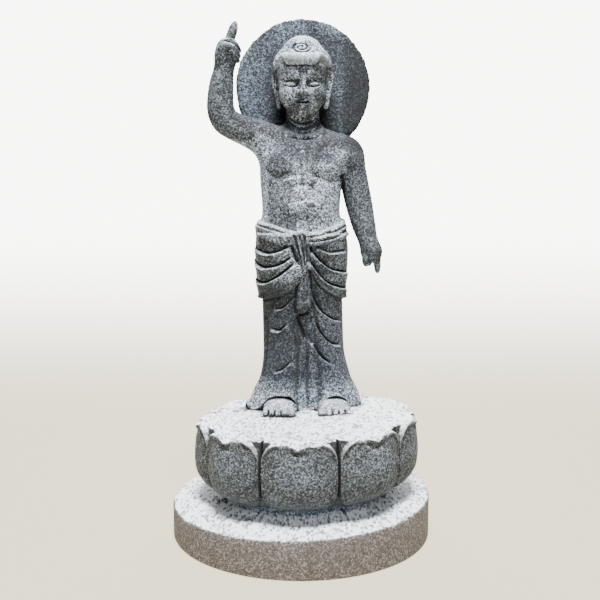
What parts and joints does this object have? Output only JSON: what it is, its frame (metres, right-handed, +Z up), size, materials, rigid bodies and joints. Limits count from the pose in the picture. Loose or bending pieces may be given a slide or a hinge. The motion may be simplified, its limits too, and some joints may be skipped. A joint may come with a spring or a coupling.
{
  "type": "stone baby buddha statue",
  "caption": "Carved granite statue of a standing child in a knotted robe, one arm raised and one lowered, with a round halo, on a lotus seat and a round plinth.",
  "frame": {"origin": "centre of the plinth's underside, on the ground", "axes": "+Z up; the figure faces -Y; +X is to its left, which is the viewer's right"},
  "size_m": [0.453, 0.453, 0.9072],
  "materials": {
    "granite": "fine-picked grey granite with dark and pale grains, matt, darker in the cuts"
  },
  "bodies": {
    "root": {"baby_buddha_statue": "granite"}
  },
  "joints": []
}
